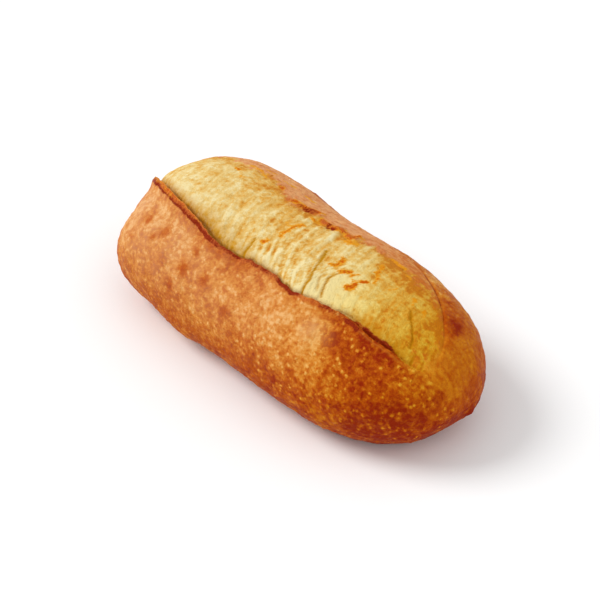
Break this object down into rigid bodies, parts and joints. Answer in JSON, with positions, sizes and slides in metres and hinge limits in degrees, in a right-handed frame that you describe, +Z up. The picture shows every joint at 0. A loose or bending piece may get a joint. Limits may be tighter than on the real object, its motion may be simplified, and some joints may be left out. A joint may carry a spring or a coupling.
{
  "type": "batard loaf",
  "caption": "Oval hearth loaf with one long slash: a raised lip of crust along a pale, bulging bloom, on a flat base.",
  "frame": {"origin": "centre of the bounding box on the flat base the loaf rests on", "axes": "+X along the loaf towards its more tapered end, -Y towards the side with the raised lip, +Z up"},
  "size_m": [0.2639, 0.1245, 0.0828],
  "materials": {
    "crust": "baked wheat crust, golden brown with fine blisters, a dark lip and a pale straw-coloured bloom, dry and mostly matt with a faint sheen"
  },
  "bodies": {
    "root": {"loaf": "crust"}
  },
  "joints": []
}
